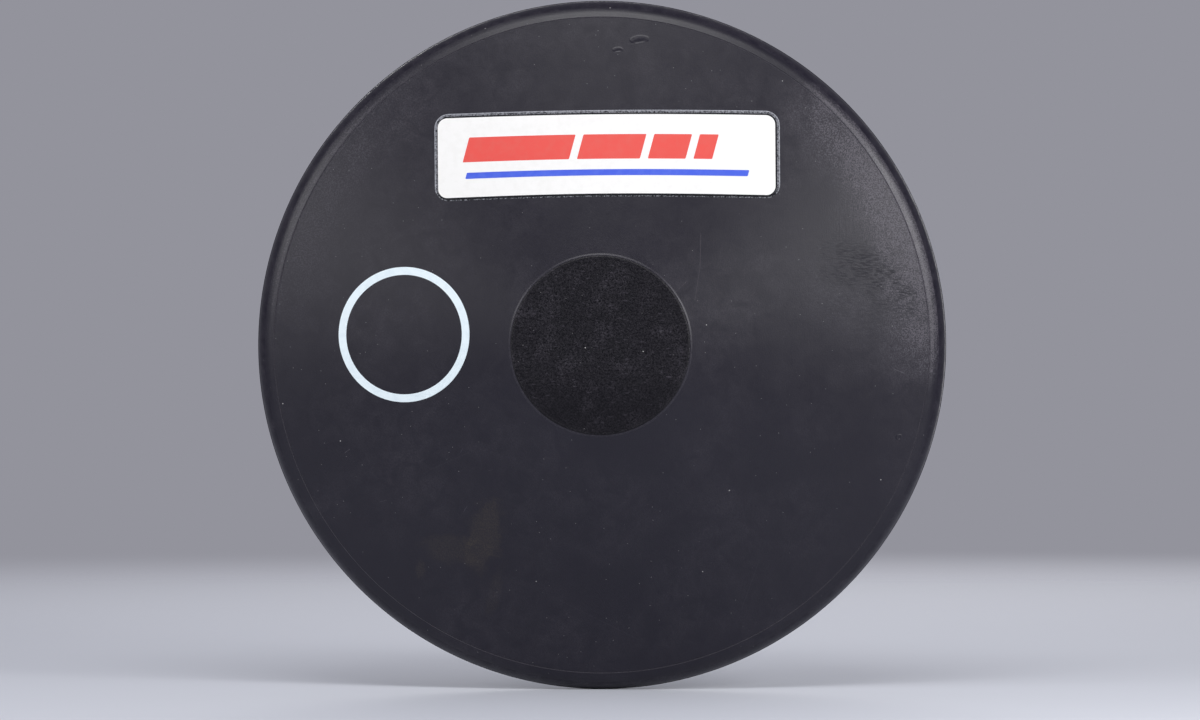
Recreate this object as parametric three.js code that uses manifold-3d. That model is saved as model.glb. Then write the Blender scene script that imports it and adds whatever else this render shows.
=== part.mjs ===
// Rubber training discus of the 2 kg class: two moulded rubber halves round a steel weight plate,
// a clear decal with a white printed field, and a ring printed on the front face.
//
// Millimetres. The origin is the centre of the discus, Y is its spin axis with the front face towards -Y,
// and Z points up as the discus stands on its rim.
import * as THREE from "three";
import { mergeVertices } from "three/addons/utils/BufferGeometryUtils.js";
import Module from "manifold-3d";

const wasm = await Module();
wasm.setup();

// Sizes of the whole discus, from the throwing rules for this class
const outerDiameter = 220;
const centreThickness = 45;
const centreFlatDiameter = 57;
const rimEdgeRadius = 6;

// Moulded details of the rubber
const lipHeight = 0.35; // the centre flat stands this much proud of the cone
const lipWidth = 0.5; // width of the bevel round the centre flat
const rimBandTiltDegrees = 18.5; // the round edge ends in a band that leans this much, down to the crease
const creaseFromEdge = 5.5; // from the rim's edge in to the crease
const creaseWidth = 0.26; // fine groove where the cone meets the rim's band
const creaseDepth = 0.1;
const flashHeight = 0.15; // trimmed moulding flash on the parting line
const flashWidth = 0.8;

// Steel weight plate
const coreDiameter = 140;
const coreThickness = 9;
const coreEdgeChamfer = 1;
const keyHoleDiameter = 10;
const keyHoleCircleDiameter = 90;
const keyHoleCount = 6;
const keyRootDepth = 0.25; // each key starts this far inside the rubber over the pocket

// Clear decal film and its white printed field, measured on the flat sheet
const filmWidth = 110.2;
const filmHeight = 28.2;
const filmCornerRadius = 4.5;
const filmThickness = 0.15;
const panelWidth = 107.7;
const panelHeight = 25.8;
const panelCornerRadius = 3;
const panelThickness = 0.05;
const panelShift = -0.2; // the field is printed this much to the left and down of the film's middle
const labelFromCrease = 43.55; // from the rim's crease in to the label's middle, seen from the front
const labelClockDegrees = 1.85; // clockwise from the top, seen from the front
const labelTiltDegrees = 2.42; // the label leans this much back from square to its radius

// Printed ring, measured on the flat
const ringOuterDiameter = 43;
const ringStroke = 2.5;
const ringThickness = 0.05;
const ringFromCrease = 41.85;
const ringClockDegrees = 273.1;

// Clearances
const coreClearance = 0.3; // round the plate's edge and round each key in its hole
const surfaceGap = 0.1; // under a sheet that lies on the curved rubber
const inkGap = 0.05; // under ink that lies on the film

// Fineness of round shapes
const turnSteps = 128;
const rimSteps = 9;
const keySteps = 24;
const cornerSteps = 4;
const labelColumns = 24;
const labelRows = 4;
const ringSteps = 64;
const weldDistance = 0.001;

const outerRadius = outerDiameter / 2;
const halfThickness = centreThickness / 2;
const flatRadius = centreFlatDiameter / 2;
const coreHalf = coreThickness / 2;
const keyHoleCircleRadius = keyHoleCircleDiameter / 2;
const creaseRadius = outerRadius - creaseFromEdge;
const rimBandTilt = THREE.MathUtils.degToRad(rimBandTiltDegrees);

// Section of one half: the cone is the straight line from the foot of the lip that just touches the rim's
// round edge. Its slope follows from the sizes above.
const rimCentre = new THREE.Vector2(outerRadius - flashHeight - rimEdgeRadius, 0);
const lipFoot = new THREE.Vector2(flatRadius + lipWidth / 2, halfThickness - lipHeight);
const footToRim = rimCentre.clone().sub(lipFoot);
const coneSlope = Math.atan2(-footToRim.y, footToRim.x) - Math.asin(rimEdgeRadius / footToRim.length());
const coneNormal = new THREE.Vector2(Math.sin(coneSlope), Math.cos(coneSlope));

function coneHeight(radius) {
  return lipFoot.y - (radius - lipFoot.x) * Math.tan(coneSlope);
}

// Solids and geometry

function solidOf(geometry) {
  const bare = geometry.clone();
  bare.deleteAttribute("normal");
  bare.deleteAttribute("uv");
  const merged = mergeVertices(bare, weldDistance);
  const vertProperties = merged.attributes.position.array;
  const triVerts = new Uint32Array(merged.index.array);
  return new wasm.Manifold(new wasm.Mesh({ numProp: 3, vertProperties, triVerts }));
}

function geometryOf(solid) {
  const { vertProperties, triVerts } = solid.getMesh();
  const geometry = new THREE.BufferGeometry();
  geometry.setAttribute("position", new THREE.BufferAttribute(vertProperties, 3));
  geometry.setIndex(new THREE.BufferAttribute(triVerts, 1));
  geometry.computeVertexNormals();
  return geometry;
}

// Places on the key circle, the first one straight up, so that a half turn about Z maps them onto each other
function keyPlaces() {
  return Array.from({ length: keyHoleCount }, (_, index) => {
    const angle = (index / keyHoleCount) * Math.PI * 2;
    return [keyHoleCircleRadius * Math.sin(angle), keyHoleCircleRadius * Math.cos(angle)];
  });
}

// Upright round bar along Y from one height to another, at a place in the XZ plane
function roundBar(diameter, from, to, [x, z]) {
  const bar = new THREE.CylinderGeometry(diameter / 2, diameter / 2, to - from, keySteps);
  bar.translate(x, (from + to) / 2, z);
  return solidOf(bar);
}

// Section of the rubber half on the +Y side: pocket floor, pocket wall, joint face, flash, rim and its band,
// crease, cone, lip and centre flat
function rubberSection() {
  const pocketRadius = coreDiameter / 2 + coreClearance;
  const flashAngle = Math.asin(flashWidth / 2 / rimEdgeRadius);
  const lastAngle = Math.PI / 2 - rimBandTilt;
  const points = [
    new THREE.Vector2(0, coreHalf),
    new THREE.Vector2(pocketRadius, coreHalf),
    new THREE.Vector2(pocketRadius, 0),
    new THREE.Vector2(outerRadius, 0),
    new THREE.Vector2(outerRadius, flashWidth / 2),
  ];
  for (let step = 0; step <= rimSteps; step++) {
    const angle = flashAngle + ((lastAngle - flashAngle) * step) / rimSteps;
    const onRim = new THREE.Vector2(Math.cos(angle), Math.sin(angle));
    points.push(onRim.multiplyScalar(rimEdgeRadius).add(rimCentre));
  }
  const bandEnd = points.at(-1);
  const bandStart = creaseRadius + creaseWidth / 2;
  const creaseStart = creaseRadius - creaseWidth / 2;
  points.push(
    new THREE.Vector2(bandStart, bandEnd.y + (bandEnd.x - bandStart) * Math.tan(rimBandTilt)),
    new THREE.Vector2(creaseRadius, coneHeight(creaseRadius) - creaseDepth),
    new THREE.Vector2(creaseStart, coneHeight(creaseStart)),
    lipFoot,
    new THREE.Vector2(flatRadius - lipWidth / 2, halfThickness),
    new THREE.Vector2(0, halfThickness),
  );
  return points;
}

// One rubber half with the keys that reach through the plate's holes to the joint face
function rubberHalf() {
  let half = solidOf(new THREE.LatheGeometry(rubberSection(), turnSteps));
  const keyRoot = coreHalf + keyRootDepth;
  for (const place of keyPlaces()) {
    half = half.add(roundBar(keyHoleDiameter - 2 * coreClearance, 0, keyRoot, place));
  }
  return geometryOf(half);
}

function corePlate() {
  const radius = coreDiameter / 2;
  const section = [
    new THREE.Vector2(0, -coreHalf),
    new THREE.Vector2(radius - coreEdgeChamfer, -coreHalf),
    new THREE.Vector2(radius, -coreHalf + coreEdgeChamfer),
    new THREE.Vector2(radius, coreHalf - coreEdgeChamfer),
    new THREE.Vector2(radius - coreEdgeChamfer, coreHalf),
    new THREE.Vector2(0, coreHalf),
  ];
  let plate = solidOf(new THREE.LatheGeometry(section, turnSteps));
  for (const place of keyPlaces()) {
    plate = plate.subtract(roundBar(keyHoleDiameter, -coreThickness, coreThickness, place));
  }
  return geometryOf(plate);
}

// A flat sheet stuck on the cone bends without stretching: distances from the cone's tip are kept, and
// angles about it grow by one over the cosine of the slope. across and outward are measured on the flat
// sheet from its middle, and height is the distance above the rubber.
function onFrontCone(across, outward, height, { fromCrease, clock, tilt }) {
  const middleReach = (creaseRadius - fromCrease) / Math.cos(coneSlope);
  const side = across * Math.cos(tilt) - outward * Math.sin(tilt);
  const reach = middleReach + across * Math.sin(tilt) + outward * Math.cos(tilt);
  const angle = clock + Math.atan2(side, reach) / Math.cos(coneSlope);
  const footRadius = Math.hypot(side, reach) * Math.cos(coneSlope);
  const spread = footRadius + height * coneNormal.x;
  const forward = coneHeight(footRadius) + height * coneNormal.y;
  return [spread * Math.sin(angle), -forward, spread * Math.cos(angle)];
}

// Bends a flat geometry, whose Z is its thickness, onto the front cone
function laidOnCone(geometry, place) {
  const spot = geometry.attributes.position;
  for (let i = 0; i < spot.count; i++) {
    spot.setXYZ(i, ...onFrontCone(spot.getX(i), spot.getY(i), spot.getZ(i), place));
  }
  geometry.computeVertexNormals();
  return geometry;
}

// Rectangle with round corners: a grid whose end columns follow the corner arcs
function roundedSheet(width, height, cornerRadius, thickness, lift) {
  const columns = labelColumns + 2 * cornerSteps;
  const sheet = new THREE.BoxGeometry(columns, 1, thickness, columns, labelRows, 1);
  sheet.translate(0, 0, lift + thickness / 2);
  const spot = sheet.attributes.position;
  const straightHalf = width / 2 - cornerRadius;
  for (let i = 0; i < spot.count; i++) {
    const column = Math.abs(spot.getX(i));
    const side = Math.sign(spot.getX(i));
    const cornerShare = Math.max(0, column - labelColumns / 2) / cornerSteps;
    const middleShare = Math.min(1, column / (labelColumns / 2));
    const angle = (cornerShare * Math.PI) / 2;
    const x = straightHalf * middleShare + cornerRadius * Math.sin(angle);
    const columnHeight = height - 2 * cornerRadius * (1 - Math.cos(angle));
    spot.setXY(i, side * x, spot.getY(i) * columnHeight);
  }
  return sheet;
}

// Flat ring of rectangular section, lying in the XY plane
function flatRing(diameter, stroke, thickness, lift) {
  const outer = diameter / 2;
  const section = [
    new THREE.Vector2(outer - stroke, lift),
    new THREE.Vector2(outer, lift),
    new THREE.Vector2(outer, lift + thickness),
    new THREE.Vector2(outer - stroke, lift + thickness),
    new THREE.Vector2(outer - stroke, lift),
  ];
  return new THREE.LatheGeometry(section, ringSteps).rotateX(Math.PI / 2);
}

// Materials
const blackRubber = new THREE.MeshStandardMaterial({ color: 0x222127, roughness: 0.5, metalness: 0 });
const plateSteel = new THREE.MeshStandardMaterial({ color: 0x8b8f94, roughness: 0.45, metalness: 1 });
const clearFilm = new THREE.MeshStandardMaterial({ color: 0x34343a, roughness: 0.25, metalness: 0 });
const whiteInk = new THREE.MeshStandardMaterial({ color: 0xf7fafa, roughness: 0.4, metalness: 0 });
const ringInk = new THREE.MeshStandardMaterial({ color: 0xdceaf1, roughness: 0.5, metalness: 0 });

const discus = new THREE.Group();

function addPiece(name, geometry, material) {
  const piece = new THREE.Mesh(geometry, material);
  piece.name = name;
  discus.add(piece);
  return piece;
}

addPiece("rubber_back_half", rubberHalf(), blackRubber);
addPiece("rubber_front_half", rubberHalf(), blackRubber).rotation.z = Math.PI;
addPiece("steel_core_plate", corePlate(), plateSteel);

const labelPlace = {
  fromCrease: labelFromCrease,
  clock: THREE.MathUtils.degToRad(labelClockDegrees),
  tilt: THREE.MathUtils.degToRad(labelTiltDegrees),
};
const film = roundedSheet(filmWidth, filmHeight, filmCornerRadius, filmThickness, surfaceGap);
const panelLift = surfaceGap + filmThickness + inkGap;
const panel = roundedSheet(panelWidth, panelHeight, panelCornerRadius, panelThickness, panelLift);
panel.translate(panelShift, panelShift, 0);
addPiece("label_film", laidOnCone(film, labelPlace), clearFilm);
addPiece("label_panel", laidOnCone(panel, labelPlace), whiteInk);

const ringPlace = {
  fromCrease: ringFromCrease,
  clock: THREE.MathUtils.degToRad(ringClockDegrees),
  tilt: 0,
};
const ring = flatRing(ringOuterDiameter, ringStroke, ringThickness, surfaceGap);
addPiece("printed_ring", laidOnCone(ring, ringPlace), ringInk);

export default discus;
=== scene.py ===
"""The looks of a press-moulded rubber training discus that stands on its rim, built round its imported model.

Y is the spin axis, the face with the label looks towards -Y, and Z points up. Lengths are metres.
"""
import math

import bmesh
import bpy
from mathutils import Matrix, Vector


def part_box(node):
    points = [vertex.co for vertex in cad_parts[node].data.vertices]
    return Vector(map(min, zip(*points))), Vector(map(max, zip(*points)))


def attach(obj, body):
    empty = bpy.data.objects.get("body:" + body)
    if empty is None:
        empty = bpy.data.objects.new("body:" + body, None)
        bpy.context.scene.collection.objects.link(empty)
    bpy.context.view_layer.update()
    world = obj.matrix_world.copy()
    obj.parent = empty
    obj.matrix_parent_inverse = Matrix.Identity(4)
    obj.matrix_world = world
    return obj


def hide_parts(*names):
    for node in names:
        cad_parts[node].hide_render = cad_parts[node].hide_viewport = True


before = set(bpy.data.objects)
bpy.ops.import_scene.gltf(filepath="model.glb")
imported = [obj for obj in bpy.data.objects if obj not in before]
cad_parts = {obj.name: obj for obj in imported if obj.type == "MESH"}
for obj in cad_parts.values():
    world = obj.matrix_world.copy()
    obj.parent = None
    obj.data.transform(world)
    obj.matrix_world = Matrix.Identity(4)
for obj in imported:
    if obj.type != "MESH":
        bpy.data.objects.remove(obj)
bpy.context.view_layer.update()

MM = 0.001


# Where the photograph has the discus, in pixels of its 1200 x 720

PHOTO_WIDTH_PX = 1200
PHOTO_MIDDLE_PX = (600, 360)
DISCUS_CENTRE_PX = (601.8, 345.0)
PX_PER_MM_AT_AXIS = 3.127      # on the plane where the two halves meet
PX_PER_MM_ON_FACE = 3.143      # on the front cone, which is nearer

CAMERA_DISTANCE = 2.0
CAMERA_YAW = math.radians(1.2)
CAMERA_RISE = math.radians(0.3)
SENSOR_WIDTH_MM = 36.0


def photo_camera():
    """Camera of the photograph, a little to the right of the spin axis and just above it."""
    data = bpy.data.cameras.new("photo_camera")
    data.sensor_width = SENSOR_WIDTH_MM
    data.lens = PX_PER_MM_AT_AXIS / MM * CAMERA_DISTANCE / PHOTO_WIDTH_PX * SENSOR_WIDTH_MM
    camera = bpy.data.objects.new("photo_camera", data)
    bpy.context.scene.collection.objects.link(camera)
    camera.location = CAMERA_DISTANCE * Vector((math.sin(CAMERA_YAW), -math.cos(CAMERA_YAW), math.tan(CAMERA_RISE)))
    aim = MM / PX_PER_MM_AT_AXIS * Vector((PHOTO_MIDDLE_PX[0] - DISCUS_CENTRE_PX[0], 0,
                                           DISCUS_CENTRE_PX[1] - PHOTO_MIDDLE_PX[1]))
    camera.rotation_euler = (aim - camera.location).to_track_quat("-Z", "Y").to_euler()
    bpy.context.scene.camera = camera


def on_face(pixel):
    """Point of the front face at a pixel of the photograph, as (x, 0, z)."""
    x, y = pixel
    return MM / PX_PER_MM_ON_FACE * Vector((x - DISCUS_CENTRE_PX[0], 0, DISCUS_CENTRE_PX[1] - y))


photo_camera()


# Sizes of the discus

front_low, front_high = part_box("rubber_front_half")
_, core_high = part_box("steel_core_plate")
OUTER_RADIUS = front_high.x
HALF_THICKNESS = -front_low.y
CORE_RADIUS = core_high.x
CORE_HALF = core_high.y

# Rim: moulding flash, round edge, and a leaning band that ends in a fine crease, a little proud of the cone
RIM_EDGE_RADIUS = 6 * MM
FLASH_HEIGHT = 0.15 * MM
FLASH_HALF_WIDTH = 0.4 * MM
RIM_BAND_TILT = math.radians(18.5)
CREASE_RADIUS = OUTER_RADIUS - 5.5 * MM
CREASE_WIDTH = 0.36 * MM
CREASE_DEPTH = 0.16 * MM

# Lip round the centre, left by the edge of the mould's centre plug: an outer bead whose flank comes down to the
# cone, a fine groove, and a fainter inner bead. Each is (radius, depth below the top of the discus)
FLAT_RADIUS = 28.5 * MM
LIP_WIDTH = 0.5 * MM
LIP_HEIGHT = 0.35 * MM
LIP_FLANK_RADIUS = 29.15 * MM
LIP_CREST = (28.65 * MM, 0.15 * MM)
LIP_GROOVE = (28.45 * MM, 0.2 * MM)
LIP_INNER_CREST = (27.95 * MM, 0)
LIP_ROUNDING = 0.06 * MM
CENTRE_EDGE = (27.65 * MM, 0.06 * MM)
BUFFED_RADIUS = 107.4 * MM         # beyond it the rim is dull, where the moulding flash was buffed off

# Keys that reach through the holes of the steel plate
CORE_CLEARANCE = 0.3 * MM
KEY_CIRCLE_RADIUS = 45 * MM
KEY_RADIUS = 5 * MM - CORE_CLEARANCE
KEY_ROOT = 0.16 * MM
KEY_COUNT = 6
KEY_SIDES = 32

# Fineness of the meshes
BLISTER_CUTS = 15
AROUND_STEPS = 540
RIM_STEPS = 26
ROW_SPACING = 2.5 * MM
CREASE_ROUNDING = 0.04 * MM
FILLET_STEPS = 4
MERGE_DISTANCE = 0.001 * MM
NORMAL_WEIGHT = 60                 # how far the wide faces outweigh the narrow ones in the shading
# Columns and rows of each flat sheet
FILM_GRID, FIELD_GRID, RULE_GRID, RING_GRID, BAR_ROWS = (111, 49), (108, 45), (91, 9), (181, 5), 15

# The cone is the straight line from the lip's foot that just touches the rim's round edge
RIM_CENTRE_RADIUS = OUTER_RADIUS - FLASH_HEIGHT - RIM_EDGE_RADIUS
FOOT_RADIUS = FLAT_RADIUS + LIP_WIDTH / 2
FOOT_HEIGHT = HALF_THICKNESS - LIP_HEIGHT
foot_to_rim = math.hypot(RIM_CENTRE_RADIUS - FOOT_RADIUS, FOOT_HEIGHT)
SLOPE = math.atan2(FOOT_HEIGHT, RIM_CENTRE_RADIUS - FOOT_RADIUS) - math.asin(RIM_EDGE_RADIUS / foot_to_rim)
APEX_HEIGHT = FOOT_HEIGHT + FOOT_RADIUS * math.tan(SLOPE)


def on_cone(radius, proud=0.0):
    """Corner on the cone at a radius, or a little off it, as (radius, height)."""
    return radius, APEX_HEIGHT - radius * math.tan(SLOPE) + proud


# Label: a clear film with a white field printed on it, laid on the cone
FILM_SIZE = (110.2 * MM, 28.2 * MM)
FILM_CORNER = 4.5 * MM
FILM_THICKNESS = 0.08 * MM
FIELD_SIZE = (107.7 * MM, 25.8 * MM)
FIELD_SHIFT = -0.2 * MM            # the field is printed this much to the left and down of the film's middle
FIELD_CORNER = 3 * MM
INK_THICKNESS = 0.02 * MM
SHEET_GAP = 0.01 * MM
LABEL_FROM_CREASE = 43.55 * MM
LABEL_CLOCK = math.radians(1.85)
LABEL_TILT = math.radians(2.42)

# Plain bars printed on the white field: (start, length), left to right, over one thin rule
BAR_ROW = [(-45 * MM, 34 * MM), (-8.5 * MM, 20 * MM), (14 * MM, 12 * MM), (28.5 * MM, 6 * MM)]
BAR_HEIGHT = 8 * MM
BAR_RISE = 2.2 * MM
BAR_SLANT = 0.27
RULE_SIZE = (90 * MM, 2 * MM)
RULE_DROP = 6.2 * MM
PRINT_CORNER = 0.25 * MM

# Printed ring
RING_OUTER_RADIUS = 21.5 * MM
RING_STROKE = 2.5 * MM
RING_FROM_CREASE = 41.85 * MM
RING_CLOCK = math.radians(273.1)

# Blisters in the rubber: middle pixel, length, width, tilt of the long side, height, depth of the fold below
BLISTERS = [
    ((640.0, 39.0), 6.6 * MM, 2.8 * MM, math.radians(5), 0.07 * MM, 0.17 * MM),
    ((618.5, 49.2), 3.7 * MM, 1.7 * MM, math.radians(3), 0.06 * MM, 0.15 * MM),
    ((899.5, 437), 2.1 * MM, 1.9 * MM, math.radians(40), 0.09 * MM, 0.2 * MM),
]
BLISTER_EDGE = 0.16                # share of its half width over which a blister rises
# The fold's middle line, its lean, its length, and its width above and below the line, as shares of half sizes
FOLD_MIDDLE, FOLD_LEAN = -0.6, 0.2
FOLD_LENGTH, FOLD_ABOVE, FOLD_BELOW = 0.9, 0.95, 0.12
FACES_FRONT = -0.9                 # below this Y of its normal a mesh face looks to the front


# Nodes, colours and patterns

MATH, VECTOR_MATH, MAP_RANGE = "ShaderNodeMath", "ShaderNodeVectorMath", "ShaderNodeMapRange"
SEPARATE, COMBINE = "ShaderNodeSeparateXYZ", "ShaderNodeCombineXYZ"


def add(tree, kind, inputs=(), out=0, **settings):
    """Adds one node and gives its output out, or the node itself where out is None. inputs are values or the
    sockets that feed them, in the node's own order or by an input's name or number."""
    node = tree.nodes.new(kind)
    for name, value in settings.items():
        setattr(node, name, value)
    for key, value in inputs.items() if isinstance(inputs, dict) else enumerate(inputs):
        if isinstance(value, bpy.types.NodeSocket):
            tree.links.new(value, node.inputs[key])
        else:
            node.inputs[key].default_value = value
    return node if out is None else node.outputs[out]


def linear(hex_code):
    """Linear colour of an sRGB hex value."""
    shares = [int(hex_code[i:i + 2], 16) / 255 for i in (1, 3, 5)]
    return [*(c / 12.92 if c <= 0.04045 else ((c + 0.055) / 1.055) ** 2.4 for c in shares), 1.0]


def new_material(name):
    """Material with only a shader and an output: the material, its tree and the shader."""
    material = bpy.data.materials.new(name)
    material.use_nodes = True
    tree = material.node_tree
    tree.nodes.clear()
    shader = add(tree, "ShaderNodeBsdfPrincipled", out=None)
    add(tree, "ShaderNodeOutputMaterial", {"Surface": shader.outputs[0]}, out=None)
    return material, tree, shader


def pattern(tree, place, size, detail=2.0, roughness=0.5, distortion=0.0, levels=None, stretch=None):
    """Noise whose features measure size millimetres. levels are the values of it that become 0 and 1, and stretch
    is its scale along each axis, less than 1 where it is drawn out."""
    if stretch:
        place = add(tree, "ShaderNodeMapping", {"Vector": place, "Scale": stretch})
    noise = add(tree, "ShaderNodeTexNoise",
                {"Vector": place, "Scale": 1 / (size * MM), "Detail": detail, "Roughness": roughness,
                 "Distortion": distortion})
    if levels:
        noise = add(tree, MAP_RANGE, {"Value": noise, "From Min": levels[0], "From Max": levels[1]})
    return noise


def summed(tree, first, layers):
    """A value plus each (mask, share)."""
    for zone, share in layers:
        first = add(tree, MATH, [zone, share, first], operation="MULTIPLY_ADD")
    return first


def painted(tree, shader, first, layers):
    """Colours laid over one another: first, then each (mask, colour)."""
    colour = linear(first)
    for share, code in layers:
        colour = add(tree, "ShaderNodeMix", {"Factor": share, 6: colour, 7: linear(code)}, out=2, data_type="RGBA")
    tree.links.new(colour, shader.inputs["Base Color"])


def surfaced(tree, shader, rough, relief):
    """Gives the shader its roughness and a relief in millimetres."""
    tree.links.new(rough, shader.inputs["Roughness"])
    bump = add(tree, "ShaderNodeBump", {"Height": relief, "Distance": MM, "Strength": 1.0})
    tree.links.new(bump, shader.inputs["Normal"])


# Marks on the rubber

def on_front(tree, place, mask):
    """The mask on the front half only."""
    depth = add(tree, SEPARATE, [place], out="Y")
    front = add(tree, MATH, [depth, 0.0], operation="LESS_THAN")
    return add(tree, MATH, [mask, front], operation="MULTIPLY")


def patch(tree, place, uneven, pixel, half_size, soft, ragged, tilt=0):
    """Mask of an uneven oval mark on the front face, 1 in its middle. half_size is (across, up) in millimetres, and
    tilt is in degrees. soft is the share of its reach over which it fades, ragged how far its outline strays."""
    away = add(tree, VECTOR_MATH, [place, on_face(pixel)], operation="SUBTRACT")
    turned = add(tree, "ShaderNodeVectorRotate", {"Vector": away, "Angle": -math.radians(tilt)},
                 rotation_type="Y_AXIS")
    shares = add(tree, VECTOR_MATH, [turned, (1 / (half_size[0] * MM), 0, 1 / (half_size[1] * MM))],
                 operation="MULTIPLY")
    reach = add(tree, VECTOR_MATH, [shares], operation="LENGTH", out="Value")
    reach = summed(tree, reach, ((uneven, ragged),))
    mask = add(tree, MAP_RANGE, {"Value": reach, "From Min": 1 + soft, "From Max": 1 - soft},
               interpolation_type="SMOOTHSTEP")
    return on_front(tree, place, mask)


def scratch(tree, place, start, end, half_width):
    """Mask of a hairline scratch between two pixels of the photograph, fading out over its width in millimetres."""
    first, run = on_face(start), on_face(end) - on_face(start)
    away = add(tree, VECTOR_MATH, [place, first], operation="SUBTRACT")
    flat = add(tree, VECTOR_MATH, [away, (1, 0, 1)], operation="MULTIPLY")
    share = add(tree, VECTOR_MATH, [flat, run / run.length_squared], operation="DOT_PRODUCT", out="Value")
    share = add(tree, "ShaderNodeClamp", {"Value": share})
    nearest = add(tree, VECTOR_MATH, {0: run, "Scale": share}, operation="SCALE")
    gap = add(tree, VECTOR_MATH, [flat, nearest], operation="DISTANCE", out="Value")
    mask = add(tree, MAP_RANGE, {"Value": gap, "From Min": half_width * MM, "From Max": 0.0})
    return on_front(tree, place, mask)


def ring_zone(tree, radius, inner, outer, soft):
    """Mask of a ring round the spin axis, 1 between two radii in metres, fading out over soft."""
    rise = add(tree, MAP_RANGE, {"Value": radius, "From Min": inner - soft, "From Max": inner},
               interpolation_type="SMOOTHSTEP")
    fall = add(tree, MAP_RANGE, {"Value": radius, "From Min": outer + soft, "From Max": outer},
               interpolation_type="SMOOTHSTEP")
    return add(tree, MATH, [rise, fall], operation="MULTIPLY")


# Dust specks: spacing and radius in millimetres, share
DUST = [(11.0, 0.24, 0.5), (3.0, 0.14, 0.24)]
SPECK_MIDDLE = 0.6              # share of a speck's radius that is as pale as it gets


def dust_specks(tree, place):
    """Mask of dust specks of two sizes, which lie wherever a grain of the pattern meets the surface."""
    specks = 0.0
    for spacing, size, share in DUST:
        near = add(tree, "ShaderNodeTexVoronoi", {"Vector": place, "Scale": 1 / (spacing * MM)})
        near = add(tree, MAP_RANGE,
                   {"Value": near, "From Min": size / spacing, "From Max": SPECK_MIDDLE * size / spacing,
                    "To Max": share})
        specks = add(tree, MATH, [near, specks], operation="MAXIMUM")
    return specks


# By their pixel in the photograph: half size in millimetres, tilt in degrees, share
RUBS = [((854, 259), (9.0, 6.0), 12, 0.7), ((870, 278), (10.0, 5.0), 14, 0.4), ((900, 302), (7.0, 6.0), 14, 0.5)]
SMUDGES = [((486, 533), (4.8, 10.0), 15, 0.06), ((458, 551), (9.0, 4.2), 8, 0.04),
           ((421, 570), (1.2, 2.6), 0, 0.04), ((495, 592), (1.8, 6.5), 14, 0.025)]
# Fine lines, across where the hand goes and upright above it
HAND_PX, HAND_SIZE = (875, 285), (20, 15)
SCORED_PX, SCORED_SIZE = (846, 220), (4, 7)
# From pixel to pixel: half width in millimetres, share
SCRATCHES = [((701.6, 233), (701, 266), 0.13, 0.35), ((701, 266), (696, 300), 0.13, 0.25),
             ((895, 369), (905, 373), 0.14, 0.5), ((926, 274), (927, 282), 0.25, 0.6),
             ((668, 300), (688, 281), 0.12, 0.2), ((430, 470), (470, 452), 0.12, 0.15),
             ((560, 600), (640, 640), 0.12, 0.12), ((760, 560), (742, 610), 0.12, 0.14),
             ((345, 453), (350, 449), 0.14, 0.5), ((465, 511), (468, 506), 0.14, 0.5),
             ((380, 502), (387, 500), 0.12, 0.4), ((462, 452), (464, 448), 0.12, 0.4),
             ((490, 470), (494, 469), 0.12, 0.35)]
# Directions round the disc in degrees from the right, on the sides the lamps light, where dust and a painted sheen lie:
# clock, half width of the zone, share
DUSTY_AND_LIT_SIDES = [(23, 33, 1.0), (150, 30, 0.2)]

# Rings of the rubber in metres: inner radius, outer radius, how far they fade out. They are the lip, whose pale ring is
# a painted highlight, the groove of the crease, the band beyond it, where a pale line is a painted highlight, and the
# dusty ring inside it, which also holds a painted sheen
LIP_HIGHLIGHT_ZONE = (LIP_CREST[0] - 0.05 * MM, LIP_FLANK_RADIUS - 0.1 * MM, 0.12 * MM)
GROOVE_ZONE = (CREASE_RADIUS - 0.12 * MM, CREASE_RADIUS + 0.12 * MM, 0.12 * MM)
HIGHLIGHT_BAND_ZONE = (CREASE_RADIUS + 0.65 * MM, CREASE_RADIUS + 1.3 * MM, 0.25 * MM)
DUSTY_SHEEN_ZONE = (101 * MM, CREASE_RADIUS, 14 * MM)
# Heights between which the centre's pale grain goes from faded to whole, and the share of it that is left where it is
# faded
GRAIN_FADED_BELOW, WHOLE_ABOVE, FADED_GRAIN_SHARE = -20 * MM, -6 * MM, 0.65

# In from the film's cut edge: where its fluff and the air behind that are gone and where they are full, and up from
# its lower edge: where there are only crumbs and where there is all of the fluff
FLUFF_REACH, AIR_REACH, CRUMBS_REACH = (0.45 * MM, 0.15 * MM), (1.05 * MM, 0.75 * MM), (1.5 * MM, 4 * MM)

# The violet tint of the black, scuffed and plug colours below is a painted reflection of blue surroundings, laid over
# the rubber's own near-black
RUBBER_BLACK_AND_BLUE_REFLECTION = "#0D091A"
RUBBER_BLOOM_AND_HIGHLIGHT = "#4F4B53"
RUBBER_SCUFFED = "#0D0A18"
RUBBER_PLUG_PAINTED_DARKER = "#08070D"
DRIED_DIRT = "#786B50"
DUST_SPECK = "#E2E0DD"
FILM_DARK = "#16171B"
FILM_FLUFF = "#B2B4BC"
STEEL_GREY = "#7E8084"
STEEL_SCALE = "#96918A"

# Specular levels: the mould's polish, its rough plug, and the buffed edge
POLISHED, ROUGH_MOULDED, BUFFED = 0.485, 0.235, 0.35


# Materials

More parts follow.
